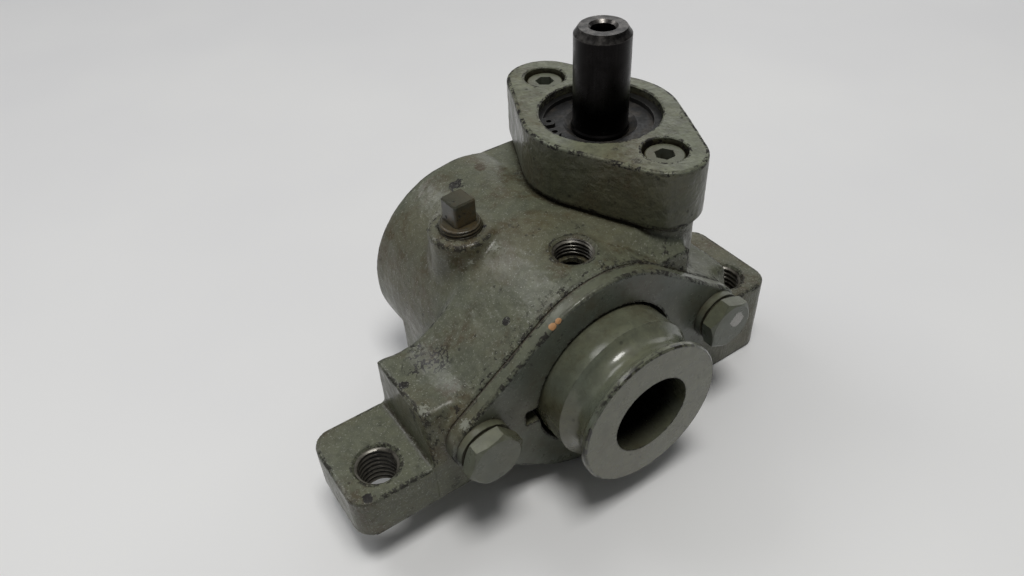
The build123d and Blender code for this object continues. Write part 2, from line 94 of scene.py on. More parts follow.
# ---------------------------------------------------------------- grid of the castings

HOUSING_GRID, HOUSING_ROUNDS = 0.62, 10
FLANGE_GRID, FLANGE_ROUNDS = 0.45, 5
COVER_GRID, COVER_ROUNDS = 0.4, 3
MELT_ROUNDS = 90
SKIN = ((0.22, 9.0), (0.085, 2.6), (0.035, 1.1))    # height and length of the cast skin's waves
CAST_EDGE = math.radians(38)
THREAD_EDGE = math.radians(50)

# ---------------------------------------------------------------- camera, as the photograph's

CAMERA_PLACE = (-0.12127, -0.115343, 0.195204)
CAMERA_TURN = (49.0816, 2.4323, -34.4259)
CAMERA_LENS, CAMERA_SENSOR = 28.605, 36.0
FLOOR_HALF = 6
SKY_UP = (0.0, 0.72, 0.69)
SKY_DIM, SKY_BRIGHT = 0.07, 0.30


# ---------------------------------------------------------------- node graphs

class Graph:
    """A material's node graph with the few operations the finishes share."""

    def __init__(self, name, **settings):
        self.material = bpy.data.materials.new(name)
        self.material.use_nodes = True
        self.tree = self.material.node_tree
        self.tree.nodes.clear()
        self.shader = self.add("ShaderNodeBsdfPrincipled")
        output = self.add("ShaderNodeOutputMaterial")
        self.tree.links.new(self.shader.outputs[0], output.inputs["Surface"])
        self.place = self.add("ShaderNodeTexCoord").outputs["Object"]
        for socket, value in settings.items():
            self.put(self.shader.inputs[socket.replace("_", " ")], value)

    def add(self, kind, **settings):
        node = self.tree.nodes.new(kind)
        for key, value in settings.items():
            setattr(node, key, value)
        return node

    def put(self, socket, value):
        if isinstance(value, bpy.types.NodeSocket):
            self.tree.links.new(value, socket)
        elif socket.type == "RGBA" and len(value) == 3:
            socket.default_value = (*value, 1.0)
        else:
            socket.default_value = value

    def set(self, socket, value):
        self.put(self.shader.inputs[socket], value)

    def math(self, operation, first, second=0.0):
        node = self.add("ShaderNodeMath", operation=operation)
        self.put(node.inputs[0], first)
        self.put(node.inputs[1], second)
        return node.outputs[0]

    def stretched(self, scale):
        node = self.add("ShaderNodeVectorMath", operation="MULTIPLY")
        self.put(node.inputs[0], self.place)
        node.inputs[1].default_value = scale
        return node.outputs[0]

    def noise(self, size_mm, detail=3.0, rough=0.55, place=None, distortion=0.0):
        node = self.add("ShaderNodeTexNoise")
        self.put(node.inputs["Vector"], place or self.place)
        node.inputs["Scale"].default_value = 1000.0 / size_mm
        node.inputs["Detail"].default_value = detail
        node.inputs["Roughness"].default_value = rough
        node.inputs["Distortion"].default_value = distortion
        return node.outputs["Fac"]

    def cells(self, size_mm):
        node = self.add("ShaderNodeTexVoronoi", feature="F1")
        self.put(node.inputs["Vector"], self.place)
        node.inputs["Scale"].default_value = 1000.0 / size_mm
        return node.outputs["Distance"]

    def ramp(self, value, low, high, to_low=0.0, to_high=1.0):
        node = self.add("ShaderNodeMapRange", interpolation_type="SMOOTHSTEP")
        self.put(node.inputs["Value"], value)
        node.inputs["From Min"].default_value = low
        node.inputs["From Max"].default_value = high
        node.inputs["To Min"].default_value = to_low
        node.inputs["To Max"].default_value = to_high
        return node.outputs["Result"]

    def mix(self, factor, first, second):
        node = self.add("ShaderNodeMix", data_type="RGBA")
        self.put(node.inputs["Factor"], factor)
        self.put(node.inputs[6], first)
        self.put(node.inputs[7], second)
        return node.outputs[2]

    def edges(self, radius_mm, start=0.995, full=0.86):
        """1 on an edge or in a tight corner, 0 on open surface."""
        bevel = self.add("ShaderNodeBevel", samples=6)
        bevel.inputs["Radius"].default_value = radius_mm * MM
        geometry = self.add("ShaderNodeNewGeometry")
        dot = self.add("ShaderNodeVectorMath", operation="DOT_PRODUCT")
        self.put(dot.inputs[0], bevel.outputs["Normal"])
        self.put(dot.inputs[1], geometry.outputs["Normal"])
        return self.ramp(dot.outputs["Value"], start, full)

    def crevices(self, distance_mm):
        """1 deep in a corner, 0 on open surface."""
        shade = self.add("ShaderNodeAmbientOcclusion", samples=8)
        shade.inputs["Distance"].default_value = distance_mm * MM
        return self.ramp(shade.outputs["AO"], 0.86, 0.35)

    def upward(self, low=0.2, high=0.9):
        """0 to 1 as the surface faces up."""
        geometry = self.add("ShaderNodeNewGeometry")
        parts = self.add("ShaderNodeSeparateXYZ")
        self.put(parts.inputs[0], geometry.outputs["Normal"])
        return self.ramp(parts.outputs["Z"], low, high)

    def near(self, x, y, z, inner, outer):
        """1 within inner mm of a point, 0 beyond outer mm."""
        node = self.add("ShaderNodeVectorMath", operation="DISTANCE")
        self.put(node.inputs[0], self.place)
        node.inputs[1].default_value = (x * MM, y * MM, z * MM)
        return self.ramp(node.outputs["Value"], outer * MM, inner * MM)

    def axis(self, letter):
        parts = self.add("ShaderNodeSeparateXYZ")
        self.put(parts.inputs[0], self.place)
        return parts.outputs[letter]

    def height(self, letter, low_mm, high_mm):
        """0 to 1 along an axis between two places."""
        return self.ramp(self.axis(letter), low_mm * MM, high_mm * MM)

    def round_of(self, first, second, at, inner, outer):
        """1 inside a radius about an axis, 0 outside."""
        a = self.math("SUBTRACT", self.axis(first), at[0] * MM)
        b = self.math("SUBTRACT", self.axis(second), at[1] * MM)
        squares = self.math("ADD", self.math("MULTIPLY", a, a), self.math("MULTIPLY", b, b))
        return self.ramp(self.math("SQRT", squares), outer * MM, inner * MM)

    def spot(self, x, y, z, radius, size_mm, ragged):
        """1 inside a ragged patch round a point, 0 outside."""
        wobble = self.math("SUBTRACT", self.noise(size_mm, 5, 0.7), 0.5)
        wobble = self.math("MULTIPLY", wobble, ragged)
        share = self.math("ADD", self.near(x, y, z, 0, 2 * radius), wobble)
        return self.ramp(share, 0.50, 0.56)

    def crackle(self, x, y, z, radius, size_mm):
        """Thin wandering lines in a patch round a point."""
        wander = self.math("ABSOLUTE", self.math("SUBTRACT", self.noise(size_mm, 3, 0.6), 0.5))
        lines = self.ramp(wander, 0.045, 0.022)
        return self.math("MULTIPLY", lines, self.near(x, y, z, 0.6 * radius, 1.3 * radius))

    def curvature(self, low, high):
        """0 to 1 as a casting's surface bends; positive on outer corners, per millimetre."""
        node = self.add("ShaderNodeAttribute", attribute_name="bend")
        return self.ramp(node.outputs["Fac"], low, high)

    def bump(self, height, depth_mm, strength=1.0, below=None):
        """Normal of a relief, laid over an earlier one where given."""
        node = self.add("ShaderNodeBump")
        node.inputs["Strength"].default_value = strength
        node.inputs["Distance"].default_value = depth_mm * MM
        self.put(node.inputs["Height"], height)
        if below is not None:
            self.put(node.inputs["Normal"], below)
        return node.outputs["Normal"]


# ---------------------------------------------------------------- colours and finishes

PAINT = (0.112, 0.119, 0.087)
PAINT_COOL = (0.092, 0.106, 0.087)
# olive that tints up-facing paint as painted light and, darkened, its sides as painted shade
OLIVE_LIGHT_AND_SHADE = (0.114, 0.118, 0.071)
BROWN = (0.055, 0.040, 0.019)
RUST = (0.150, 0.105, 0.050)
SOOT = (0.011, 0.009, 0.007)
PRIMER = (0.40, 0.21, 0.09)
BARE = (0.36, 0.35, 0.33)
# pale paint for scuffs, also laid on as painted highlights
SCUFF_AND_HIGHLIGHT = (0.21, 0.215, 0.175)
BORE_SHADE = (0.006, 0.006, 0.005)


def paint(name, grain_mm=1.6, grain_depth=0.2, rough=0.36, stain=0.5, wear=0.6, chips=0.5,
          tone=1.0, dirt_and_shade=0.8, painted_side_shade=1.0, rim=1.5, coat=0.14, brushed=False, joint=False,
          bore=False, spots=(), cracks=()):
    """Old grey-green machine enamel over cast iron, stained and worn dark along its edges, with
    painted light on its tops and painted shade on its sides and in its corners.
    """
    g = Graph(name)
    base = g.mix(g.ramp(g.noise(26, 2), 0.35, 0.65), [c * tone for c in PAINT_COOL],
                 [c * tone for c in PAINT])
    # painted light: up-facing paint tinted toward a lit olive
    base = g.mix(g.math("MULTIPLY", g.upward(), 0.6), base, [c * tone for c in OLIVE_LIGHT_AND_SHADE])
    # painted shade: sides that face away from up are darkened
    if painted_side_shade < 1:
        base = g.mix(g.ramp(g.upward(0.1, 0.6), 0.0, 1.0, 1.0, 0.0), base,
                     [c * tone * painted_side_shade for c in OLIVE_LIGHT_AND_SHADE])
    base = g.mix(g.ramp(g.noise(3.4, 5, 0.65), 0.34, 0.66, 0.0, 0.5), base,
                 [c * tone * painted_side_shade * 0.60 for c in PAINT])

    # oil film and rust stain, broken up at two scales
    film = g.math("MULTIPLY", g.ramp(g.noise(19, 5, 0.62, distortion=0.6), 0.47, 0.62),
                  g.ramp(g.noise(2.6, 5, 0.72), 0.42, 0.58, 0.15, 1.0))
    base = g.mix(g.math("MULTIPLY", film, stain), base, BROWN)
    wash = g.ramp(g.noise(37, 3, 0.5), 0.46, 0.64)
    base = g.mix(g.math("MULTIPLY", wash, stain * 0.2), base, RUST)
    # dirt and painted shade: corners and creases darkened brown by ambient occlusion and concave
    # bends
    grime_and_shade = g.math("MAXIMUM", g.crevices(3.2), g.curvature(-0.035, -0.12))
    grime_and_shade = g.math("MULTIPLY", grime_and_shade, g.ramp(g.noise(2.2, 3), 0.25, 0.6, 0.5, 1.0))
    base = g.mix(g.math("MULTIPLY", grime_and_shade, dirt_and_shade), base, [c * 0.45 for c in BROWN])

    # specks, chips and worn edges, down to dark iron
    speck = g.math("MULTIPLY", g.ramp(g.cells(3.0), 0.24, 0.15), g.ramp(g.noise(12, 3), 0.55, 0.63))
    chip = g.math("MULTIPLY", g.ramp(g.noise(4.2, 7, 0.75, distortion=0.5), 0.610, 0.630),
                  g.ramp(g.noise(21, 2), 0.50, 0.58))
    edge = g.math("MAXIMUM", g.edges(rim, 0.985, 0.93), g.curvature(0.045, 0.10))
    worn = g.math("MULTIPLY", edge, g.ramp(g.noise(2.0, 6, 0.75), 0.48, 0.51))
    worn = g.math("MULTIPLY", worn, g.ramp(g.noise(11, 3), 0.40, 0.52, 0.35, 1.0))
    bare = g.math("MAXIMUM", g.math("MULTIPLY", g.math("MAXIMUM", speck, chip), chips),
                  g.math("MULTIPLY", worn, wear))
    if joint:
        crumbs = g.math("MULTIPLY", g.height("Y", 37.0, 28.0),
                        g.ramp(g.noise(2.2, 6, 0.75), 0.565, 0.585))
        bare = g.math("MAXIMUM", bare, g.math("MULTIPLY", crumbs, g.height("Z", -6, 4)))
    base = g.mix(bare, base, SOOT)
    for (x, y, z, radius, size, ragged, colour) in spots:
        base = g.mix(g.spot(x, y, z, radius, size, ragged), base, colour)
    for (x, y, z, radius) in cracks:
        base = g.mix(g.math("MULTIPLY", g.crackle(x, y, z, radius, 3.4), 0.95), base, SOOT)
    if bore:
        lip = g.math("MULTIPLY", g.height("Y", 2.0, 0.8),
                     g.round_of("X", "Z", (0, 0), HUB_LIP_RADIUS, HUB_LIP_RADIUS - 0.5))
        lip = g.math("MULTIPLY", lip, g.ramp(g.noise(2.8, 5, 0.7), 0.49, 0.54))
        base = g.mix(g.math("MULTIPLY", lip, 0.9), base, SOOT)
        inside = g.round_of("X", "Z", (0, 0), BORE_RADIUS, BORE_RADIUS + 0.2)
        base = g.mix(g.math("MULTIPLY", inside, g.height("Y", -4, 9)), base, BORE_SHADE)
    g.set("Base Color", base)

    gloss = g.ramp(g.noise(7, 4, 0.6), 0.3, 0.7, rough - 0.09, rough + 0.10)
    gloss = g.math("ADD", gloss, g.math("MULTIPLY", bare, 0.30))
    g.set("Roughness", gloss)
    g.shader.inputs["Specular IOR Level"].default_value = 0.32
    g.set("Coat Weight", g.math("MULTIPLY", g.math("SUBTRACT", 1.0, bare), coat))
    g.shader.inputs["Coat Roughness"].default_value = 0.16
    coarse = g.bump(g.noise(grain_mm * 3.2, 3, 0.5), grain_depth * 2.6, 0.7)
    fine = g.bump(g.noise(grain_mm, 3, 0.5), grain_depth, 0.7, coarse)
    if brushed:
        lines = g.noise(0.9, 3, 0.6, place=g.stretched((1, 1, 0.08)))
        upright = g.ramp(g.upward(0.2, 0.6), 0.0, 1.0, 1.0, 0.0)
        feet = g.math("MAXIMUM", g.height("X", 61.9, 62.4), g.height("X", -61.9, -62.4))
        fine = g.bump(g.math("MULTIPLY", lines, g.math("MULTIPLY", upright, feet)), 0.35, 0.8, fine)
    g.set("Normal", g.bump(g.math("SUBTRACT", 1.0, bare), 0.10, 0.8, fine))
    return g.material


# ragged patches: place, radius, grain, raggedness, colour
HOUSING_SPOTS = (
    (-27.6, 37.1, 27.4, 1.5, 2.0, 0.5, SOOT),
    (-59.7, 46.7, 11.6, 1.7, 2.0, 1.0, SOOT),
    (-61.6, 38.0, 8.0, 1.9, 2.0, 1.8, SOOT),
    (-13.8, 68.7, 37.0, 1.3, 2.0, 1.6, SOOT),
    (-8.0, 96.0, 37.6, 2.6, 2.4, 2.6, SOOT),
    (4.0, 99.0, 38.2, 2.4, 2.2, 2.6, BROWN),
    # pale patches on the shoulder's rolled edge and the plug boss: scuffs and painted highlights
    (-60.0, 34.5, 11.4, 1.5, 0.8, 4.0, SCUFF_AND_HIGHLIGHT),
    (-15.5, 60.6, 35.3, 1.5, 0.7, 4.4, SCUFF_AND_HIGHLIGHT),
    (-23.0, 63.0, 31.5, 1.2, 0.7, 4.4, SCUFF_AND_HIGHLIGHT),
    (-84.0, 30.0, -7.2, 1.5, 2.0, 2.2, SOOT),
)
COVER_SPOTS = (
    (-20.8, 22.8, 32.2, 1.2, 1.8, 1.0, PRIMER),
    (-18.8, 22.6, 33.2, 1.0, 1.8, 1.0, PRIMER),
    # pale patch on the cover's edge: scuff and painted highlight
    (-52.0, 24.0, 9.0, 1.6, 0.8, 3.8, SCUFF_AND_HIGHLIGHT),
)
BOLT_SPOTS = (
    (50.4, 13.4, 1.6, 2.9, 2.4, 1.2, BARE),
)


def metal(name, colour, rough, metallic=1.0, streak=(1, 1, 1), streak_mm=0.5, depth=0.01,
          stain=0.3, stain_colour=SOOT, bright=None, bright_radius=0.45, tip=False):
    """Machined steel or bronze: tool streaks, stain, bright worn edges where asked."""
    g = Graph(name, Metallic=metallic)
    lines = g.noise(streak_mm, 3, 0.5, place=g.stretched(streak))
    base = g.mix(g.ramp(lines, 0.3, 0.7, 0.0, 0.5), colour, [c * 0.62 for c in colour])
    film = g.ramp(g.noise(7, 5, 0.65, distortion=0.5), 0.46, 0.66)
    base = g.mix(g.math("MULTIPLY", film, stain), base, stain_colour)
    gloss = g.ramp(g.noise(3.5, 4), 0.3, 0.7, rough * 0.8, rough * 1.25)
    if bright is not None:
        edge = g.math("MULTIPLY", g.edges(bright_radius), g.ramp(g.noise(1.6, 4, 0.7), 0.36, 0.56))
        if tip:
            end = g.math("MULTIPLY", g.height("Z", SHAFT_TIP - 0.7, SHAFT_TIP),
                         g.ramp(g.noise(2.2, 5), 0.35, 0.7, 0.15, 0.8))
            edge = g.math("MULTIPLY", edge, g.height("Z", SHAFT_TIP - 7, SHAFT_TIP - 1))
            edge = g.math("MULTIPLY", g.math("MAXIMUM", edge, end),
                          g.ramp(g.upward(-0.6, 0.1), 0.0, 1.0))
        base = g.mix(edge, base, bright)
    g.set("Base Color", base)
    g.set("Roughness", gloss)
    g.set("Normal", g.bump(lines, depth, 0.5))
    return g.material


def rubber(name):
    """Oiled black seal rubber."""
    g = Graph(name)
    base = g.mix(g.ramp(g.noise(4, 4), 0.4, 0.65), (0.012, 0.012, 0.012), (0.035, 0.030, 0.024))
    g.set("Base Color", base)
    g.set("Roughness", g.ramp(g.noise(1.2, 3), 0.3, 0.7, 0.34, 0.6))
    g.set("Normal", g.bump(g.noise(0.5, 3), 0.03, 0.5))
    return g.material


def fibre(name):
    """Oiled brown gasket fibre."""
    g = Graph(name)
    strands = g.noise(0.5, 4, 0.6, place=g.stretched((1, 1, 0.3)))
    base = g.mix(g.ramp(strands, 0.35, 0.65), (0.030, 0.024, 0.017), (0.075, 0.060, 0.042))
    g.set("Base Color", base)
    g.set("Roughness", g.ramp(strands, 0.3, 0.7, 0.7, 0.9))
    g.set("Normal", g.bump(strands, 0.06, 0.6))
    return g.material


# painted_side_shade darkens the sides of an enamel as painted shade
finishes = {
    "housing_paint": paint("housing_enamel", stain=0.75, chips=0.6, wear=0.85, painted_side_shade=0.82,
                           brushed=True, joint=True, spots=HOUSING_SPOTS,
                           cracks=((-46.5, 47.5, 14.0, 5.0), (-52.5, 51.5, 11.8, 5.0),
                                   (-49.5, 57.5, 11.8, 3.0))),
    # painted light: tone lightens the flange's enamel above the housing's; its sides get painted
    # shade
    "flange_paint": paint("flange_enamel", grain_mm=1.9, grain_depth=0.40, stain=0.5, wear=1.0,
                          chips=0.6, dirt_and_shade=0.95, tone=1.42, painted_side_shade=0.50, rim=1.3),
    "cover_paint": paint("cover_enamel", grain_mm=1.2, grain_depth=0.05, rough=0.34, stain=0.45,
                         wear=0.9, chips=0.5, rim=1.0, spots=COVER_SPOTS),
    # painted light: tone lightens the hub's enamel; its sides get painted shade
    "hub_paint": paint("hub_enamel", grain_mm=1.4, grain_depth=0.015, rough=0.27, stain=0.34,
                       wear=1.0, chips=0.4, tone=1.22, painted_side_shade=0.84, dirt_and_shade=0.3, rim=0.8, coat=0.6,
                       bore=True),
    "bolt_paint": paint("bolt_enamel", grain_mm=1.0, grain_depth=0.04, rough=0.30, stain=0.3,
                        wear=0.6, chips=0.3, tone=1.1, rim=0.5, spots=BOLT_SPOTS),
    "washer_steel": paint("washer_enamel", grain_mm=0.9, grain_depth=0.04, stain=0.5, wear=0.7,
                          chips=0.4, rim=0.4),
    "screw_paint": paint("screw_enamel", grain_mm=0.9, grain_depth=0.03, rough=0.32, stain=0.4,
                         wear=0.5, chips=0.4, tone=1.05, rim=0.5),
    "plug_steel": paint("plug_enamel", grain_mm=0.9, grain_depth=0.04, rough=0.30, stain=1.0,
                        wear=1.0, chips=1.0, tone=0.42, rim=0.6),
    "shaft_steel": metal("shaft_black", (0.014, 0.013, 0.013), 0.30, 1.0, (1, 1, 0.04), 0.6,
                         0.006, 0.35, (0.007, 0.006, 0.006), (0.17, 0.16, 0.15), 0.8, tip=True),
    "ring_steel": metal("ring_phosphate", (0.040, 0.040, 0.038), 0.42, 0.8, depth=0.02,
                        bright=(0.12, 0.115, 0.11)),
    "bearing_steel": metal("bearing_bright", (0.56, 0.56, 0.56), 0.16, depth=0.002, stain=0.12),
    "cage_steel": metal("cage_pressed", (0.40, 0.39, 0.37), 0.34, depth=0.01, stain=0.2),
    "key_steel": metal("key_drawn", (0.42, 0.42, 0.42), 0.3, streak=(1, 0.05, 1), stain=0.2),
    "seal_rubber": rubber("seal_nitrile"),
    "gasket_fibre": fibre("gasket_oiled"),
    "wheel_bronze": metal("wheel_bronze", (0.55, 0.36, 0.14), 0.28, streak=(1, 0.06, 1), depth=0.01,
                          stain=0.35, stain_colour=(0.12, 0.06, 0.02)),
    "thread_steel": metal("thread_cut", (0.12, 0.112, 0.092), 0.34, 0.35, depth=0.01, stain=0.9,
                          stain_colour=(0.012, 0.009, 0.006)),
}

for part in frame["record"]["subparts"]:
    node = nodes[part["node"]]
    node.data.materials.clear()
    node.data.materials.append(finishes[part["material_slot"]])


# ---------------------------------------------------------------- rounded castings

def baked(piece):
    """Applies a piece's modifiers to its mesh."""
    view = bpy.context.evaluated_depsgraph_get()
    mesh = bpy.data.meshes.new_from_object(piece.evaluated_get(view), depsgraph=view)
    old = piece.data
    piece.modifiers.clear()
    piece.data = mesh
    bpy.data.meshes.remove(old)


def turned(points, at=(0, 0), segments=96):
    """Closed upright mesh of revolution from (radius, height) points in mm."""
    made = bmesh.new()
    rings = []
    for radius, height in points:
        if radius == 0:
            rings.append([made.verts.new((at[0] * MM, at[1] * MM, height * MM))])
            continue
        rings.append([
            made.verts.new(((at[0] + radius * math.cos(a)) * MM,
                            (at[1] + radius * math.sin(a)) * MM, height * MM))
            for a in (2 * math.pi * i / segments for i in range(segments))
        ])
    pairs = list(zip(rings, rings[1:]))
    if points[0][0] != 0:
        pairs.append((rings[-1], rings[0]))
    for low, high in pairs:
        for i in range(segments):
            j = (i + 1) % segments
            corners = [low[i % len(low)], low[j % len(low)], high[j % len(high)], high[i % len(high)]]
            unique = list(dict.fromkeys(corners))
            if len(unique) > 2:
                made.faces.new(unique)
    bmesh.ops.recalc_face_normals(made, faces=made.faces)
    return made


def as_object(made, name):
    """Object in the scene from a bmesh, which is freed."""
    mesh = bpy.data.meshes.new(name)
    made.to_mesh(mesh)
    made.free()
    piece = bpy.data.objects.new(name, mesh)
    bpy.context.scene.collection.objects.link(piece)
    return piece


def joined(name, parts):
    """One object from several bmeshes."""
    made = bmesh.new()
    for part in parts:
        mesh = bpy.data.meshes.new("part")
        part.to_mesh(mesh)
        part.free()
        made.from_mesh(mesh)
        bpy.data.meshes.remove(mesh)
    return as_object(made, name)


def smoothstep(value, low, high):
    """0 to 1 between low and high, for arrays."""
    t = np.clip((value - low) / (high - low), 0, 1)
    return t * t * (3 - 2 * t)


def blend_pass(piece, share, rounds):
    """Smooths a piece where share, 0 to 1 for each point, says so."""
    group = piece.vertex_groups.new(name="blend")
    for level in range(1, 11):
        chosen = np.nonzero((share * 10).round() == level)[0]
        if len(chosen):
            group.add(chosen.tolist(), level / 10, "REPLACE")
    smooth = piece.modifiers.new("blend", "SMOOTH")
    smooth.factor = 0.5
    smooth.iterations = rounds
    smooth.vertex_group = "blend"
    baked(piece)
    piece.vertex_groups.clear()


def note_bends(mesh, rounds=3):
    """Stores how sharply the surface bends at each point, per millimetre, as "bend"."""
    count = len(mesh.vertices)
    ends = np.empty(len(mesh.edges) * 2, np.int32)
    mesh.edges.foreach_get("vertices", ends)
    a, b = ends.reshape(-1, 2).T
    points = points_of(mesh) / MM
    normals = points_of(mesh, "normal")
    spans = points[b] - points[a]
    along = (spans * normals[a]).sum(1), (-spans * normals[b]).sum(1)
    squares = (spans ** 2).sum(1)
    lift = np.bincount(a, along[0], count) + np.bincount(b, along[1], count)
    reach = np.bincount(a, squares, count) + np.bincount(b, squares, count)
    bend = -lift / np.maximum(reach, 1e-9)
    links = np.bincount(a, minlength=count) + np.bincount(b, minlength=count) + 1
    for _ in range(rounds):
        bend = (bend + np.bincount(a, bend[b], count) + np.bincount(b, bend[a], count)) / links
    stored = mesh.attributes.new("bend", "FLOAT", "POINT")
    stored.data.foreach_set("value", bend.astype(np.float32))


def points_of(mesh, kind="co"):
    """A mesh's points, or its point normals, as an array."""
    values = np.empty(len(mesh.vertices) * 3, np.float32)
    mesh.vertices.foreach_get(kind, values)
    return values.reshape(-1, 3)


def casting(node, name, grid, rounds, weight, relief, fillers=(), cuts=(), finish=None, melt=None):
    """Remeshed copy of a CAD casting, its corners blended and its skin made uneven.

    weight and melt take an array of points in mm and give how far each is blended, 0 to 1.
    relief takes the same and gives the skin's roughness, 0 to 1.
    Fillers close the holes before the blending and cuts open them again after it.
    """
    made = bmesh.new()
    made.from_mesh(nodes[node].data)
    for filler in fillers:
        mesh = bpy.data.meshes.new("filler")
        filler.to_mesh(mesh)
        filler.free()
        made.from_mesh(mesh)
        bpy.data.meshes.remove(mesh)
    piece = as_object(made, name)
    remesh = piece.modifiers.new("grid", "REMESH")
    remesh.mode = "VOXEL"
    remesh.voxel_size = grid * 1.0 * MM
    baked(piece)

    if melt is not None:
        blend_pass(piece, melt(points_of(piece.data) / MM), MELT_ROUNDS)
    blend_pass(piece, weight(points_of(piece.data) / MM), rounds)

    mesh = piece.data
    count = len(mesh.vertices)
    flat, normals = points_of(mesh), points_of(mesh, "normal")
    rough = relief(flat / MM)
    shift = np.zeros(count)
    for index in np.nonzero(rough > 0.02)[0]:
        place = Vector(flat[index]) / MM
        shift[index] = sum(rise * noise.noise(place / length) for rise, length in SKIN)
    flat = flat + normals * (shift * rough * MM)[:, None]
    mesh.vertices.foreach_set("co", flat.astype(np.float32).reshape(-1))
    mesh.update()

    if cuts:
        tool = joined(name + "_cut", cuts)
        cut = piece.modifiers.new("holes", "BOOLEAN")
        cut.operation = "DIFFERENCE"
        cut.solver = "EXACT"
        cut.object = tool
        baked(piece)
        bpy.data.objects.remove(tool)
    mesh = piece.data
    note_bends(mesh)
    mesh.shade_smooth()
    mesh.set_sharp_from_angle(angle=CAST_EDGE)
    slot = next(p["material_slot"] for p in frame["record"]["subparts"] if p["node"] == node)
    mesh.materials.clear()
    mesh.materials.append(finishes[finish or slot])
    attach(piece, "casing")
    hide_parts(node)


def around(p, *centres):
    """1 near any of the (x, y, z, inner, outer) places, 0 away from them."""
    share = np.zeros(len(p))
    for x, y, z, inner, outer in centres:
        distance = np.sqrt(((p - np.array((x, y, z))) ** 2).sum(1))
        share = np.maximum(share, 1 - smoothstep(distance, inner, outer))
    return share


def from_worm(x, y):
    """Distance from the worm's axis."""
    return np.hypot(x - WORM_X, y - WORM_Y)


def bored(x, y, z, radius):
    """True in the housing's cavity and bearing seats, which stay true."""
    return (np.hypot(x, z) < radius) & (y > COVER_REAR - 1) | (from_worm(x, y) < WORM_CLEAR)


def housing_weight(p):
    """Light blend of the housing's edges, none on its underside and bores."""
    x, y, z = p.T
    share = smoothstep(z, BASE_Z + 0.2, BASE_Z + 2.5)
    share[bored(x, y, z, CAVITY_CLEAR)] = 0.0
    tower = (from_worm(x, y) < 50) & (x > 12)
    share *= 1 - 0.75 * smoothstep(z, DECK_Z - 1.2, DECK_Z - 0.4) * tower
    share[(np.abs(x) > 64) & (z < 4)] *= 0.35
    share[y < HOUSING_FRONT + 0.6] *= 0.3
    return share


def housing_melt(p):
    """Where the casting's corners are blended with a large radius."""
    x, y, z = p.T
    rear_of_wing = smoothstep(x, -60, -52) * (1 - smoothstep(x, -26, -16))
    rear_of_wing *= 1 - smoothstep(np.abs(y - 62.0), 7.0, 12.0)
    rear_of_wing *= smoothstep(z, 7.0, 14.0)
    boss = around(p, (*PLUG, 29, 13, 17)) * (1 - 0.55 * smoothstep(z, 35.0, 37.0))
    share = np.maximum(rear_of_wing, boss)
    front = np.minimum(smoothstep(np.abs(x), 44, 49), smoothstep(z, -5.6, -3.0))
    front *= 1 - smoothstep(y, 33.0, 38.0)
    share = np.maximum(share, 0.8 * front * smoothstep(y, HOUSING_FRONT + 0.5, HOUSING_FRONT + 1.5))
    column = around(p, (31, 44, 27, 9, 14), (50, 46, 14, 10, 15), (24, 51, 34, 6, 9),
                    (38.5, 34, 27, 9, 14), (50, 38, 12, 9, 14))
    share = np.maximum(share, column * (1 - smoothstep(z, 33.8, 35.6)))
    share *= smoothstep(y, HOUSING_FRONT + 0.4, HOUSING_FRONT + 2.0)
    share[bored(x, y, z, CAVITY_CLEAR + 0.5)] = 0.0
    return share


def housing_relief(p):
    """Rough cast skin, finer on the feet, none on machined faces."""
    x, y, z = p.T
    rough = np.ones(len(p))
    rough[bored(x, y, z, CAVITY_CLEAR + 0.5)] = 0
    rough *= smoothstep(z, BASE_Z + 0.3, BASE_Z + 1.5)
    rough *= smoothstep(y, HOUSING_FRONT + 0.2, HOUSING_FRONT + 1.5)
    foot = np.abs(x) > 63
    rough[foot] *= np.where(z[foot] > FOOT_TOP - 0.6, 0.12, 0.45)
    rough *= 1 - smoothstep(z, DECK_Z - 0.8, DECK_Z - 0.2) * (from_worm(x, y) < 46)
    return rough


def flange_weight(p):
    x, y, z = p.T
    share = np.full(len(p), 0.8)
    share[from_worm(x, y) < FLANGE_CLEAR] = 0
    share[z < FLANGE_BOTTOM + 0.3] *= 0.4
    return share


def flange_relief(p):
    x, y, z = p.T
    rough = np.full(len(p), 0.75)
    rough[from_worm(x, y) < FLANGE_CLEAR] = 0
    rough[z > FLANGE_TOP - 0.3] *= 0.18
    rough[z < FLANGE_BOTTOM + 0.3] = 0
    return rough


def cover_weight(p):
    x, y, z = p.T
    share = np.full(len(p), 0.7)
    share[np.hypot(x, z) < 29.5] = 0
    share[y > COVER_REAR - 0.4] *= 0.3
    return share


def cover_relief(p):
    x, y, z = p.T
    rough = np.full(len(p), 0.25)
    rough[(y > COVER_FRONT + 0.5) & (np.hypot(x, z) > 29)] = 0.6
    rough[(np.hypot(x, z) < 28.5) | (y > COVER_REAR - 0.3)] = 0
    return rough


def hole_filler(bottom, top, at, radius=8.2):
    """Plug that closes a hole before the casting is blended."""
    return turned([(0, bottom), (radius, bottom), (radius, top), (0, top)], at=at)


